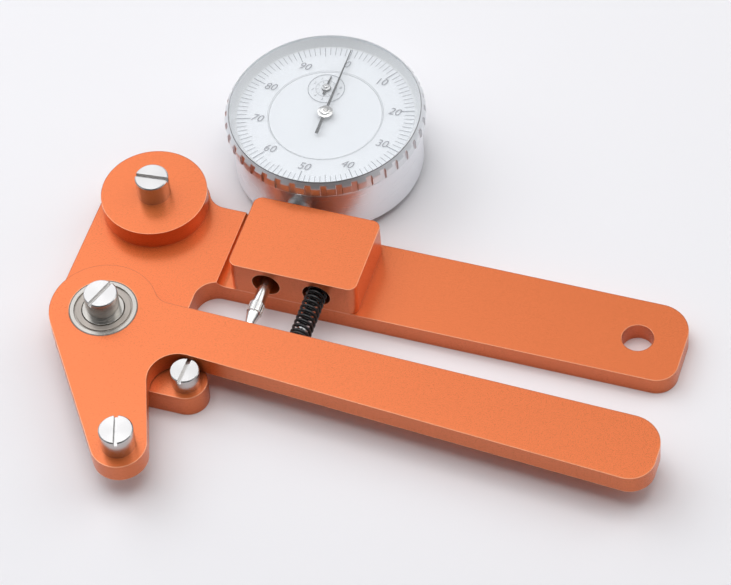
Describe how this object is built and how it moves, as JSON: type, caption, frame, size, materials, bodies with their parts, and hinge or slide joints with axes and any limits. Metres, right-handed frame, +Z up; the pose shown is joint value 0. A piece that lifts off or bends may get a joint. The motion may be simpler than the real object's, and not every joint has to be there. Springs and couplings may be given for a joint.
{
  "type": "spoke tension meter",
  "caption": "Squeeze-type spoke tension meter: a fixed plate and a sprung lever with slotted posts, and a dial gauge on the fixed arm that reads the lever's travel.",
  "frame": {"origin": "the lever's pivot axis on the fixed plate's resting underside", "axes": "+X along the fixed arm towards its hanging hole, +Y from the lever towards the dial, +Z up through the dial's face"},
  "size_m": [0.1745, 0.1596, 0.024],
  "materials": {
    "anodised_orange": "satin, orange anodised",
    "polished_steel": "polished",
    "case_metal": "satin",
    "bezel_metal": "polished",
    "brass": "turned",
    "black_spring": "black oiled",
    "dial_white": "printed, satin",
    "pointer_black": "satin",
    "clear_plastic": "clear",
    "blued_steel": "blued"
  },
  "bodies": {
    "frame": {"body_plate": "anodised_orange", "gauge_block": "anodised_orange", "block_screws": "polished_steel", "stem_set_screw": "polished_steel", "spacer_disc": "anodised_orange", "disc_post": "polished_steel", "pivot_post": "polished_steel", "pivot_washer": "polished_steel", "stop_pin": "polished_steel", "return_spring": "black_spring", "bearing_inner_ring": "polished_steel", "gauge_case": "case_metal", "gauge_stem": "polished_steel", "upper_bush": "polished_steel", "dust_cap": "case_metal", "back_cover": "case_metal", "back_screws": "polished_steel", "spindle_spring": "polished_steel", "lower_bridge": "brass", "guide_rail": "polished_steel", "movement_pillars": "brass", "pillar_spacers": "brass", "bridge_screws": "polished_steel", "train_plate": "brass", "dial_face": "dial_white", "retaining_ring": "polished_steel"},
    "lever_arm": {"lever": "anodised_orange", "lever_post": "polished_steel", "spring_stud": "polished_steel", "bearing_outer_ring": "polished_steel", "bearing_shields": "polished_steel"},
    "ball_cage": {"bearing_balls": "polished_steel", "bearing_cage": "brass"},
    "spindle_rod": {"spindle": "polished_steel", "contact_point": "polished_steel", "guide_pin": "polished_steel"},
    "counter_wheel": {"counter_gear": "brass", "counter_pointer": "pointer_black"},
    "centre_arbor": {"centre_pinion": "polished_steel", "main_pointer": "pointer_black"},
    "take_up": {"take_up_wheel": "brass", "hairspring": "blued_steel"},
    "turning_dial": {"bezel": "bezel_metal", "crystal": "clear_plastic", "scale_ring": "dial_white"}
  },
  "joints": [
    {"name": "lever_pivot", "type": "hinge", "parent": "frame", "child": "lever_arm", "pos_m": [0, 0, 0], "axis": [0, 0, 1], "range_deg": [0, 10], "stiffness_Nm_per_rad": 11.5, "springref_deg": -8.42, "deforming": ["return_spring"]},
    {"name": "balls_roll", "type": "hinge", "parent": "frame", "child": "ball_cage", "pos_m": [0, 0, 0], "axis": [0, 0, 1], "range_deg": [0, 6.5]},
    {"name": "spindle_slide", "type": "slide", "parent": "frame", "child": "spindle_rod", "axis": [0, 1, 0], "range_m": [0, 0.0072], "deforming": ["spindle_spring"]},
    {"name": "counter_spin", "type": "hinge", "parent": "frame", "child": "counter_wheel", "pos_m": [0.037, 0.08539, 0], "axis": [0, 0, 1], "range_deg": [0, 260]},
    {"name": "pointer_spin", "type": "hinge", "parent": "frame", "child": "centre_arbor", "pos_m": [0.0398, 0.076, 0], "axis": [0, 0, 1], "range_deg": [-2600, 0]},
    {"name": "take_up_spin", "type": "hinge", "parent": "frame", "child": "take_up", "pos_m": [0.04861, 0.0717, 0], "axis": [0, 0, 1], "range_deg": [0, 260]},
    {"name": "bezel_turn", "type": "hinge", "parent": "frame", "child": "turning_dial", "pos_m": [0.0398, 0.076, 0], "axis": [0, 0, 1], "continuous": true}
  ],
  "couplings": [
    {"joint": "balls_roll", "follows": "lever_pivot", "ratio": 0.617},
    {"joint": "spindle_slide", "follows": "lever_pivot", "m_per_rad": 0.0406},
    {"joint": "counter_spin", "follows": "lever_pivot", "ratio": 25.51},
    {"joint": "pointer_spin", "follows": "lever_pivot", "ratio": -255.1},
    {"joint": "take_up_spin", "follows": "lever_pivot", "ratio": 25.51}
  ]
}
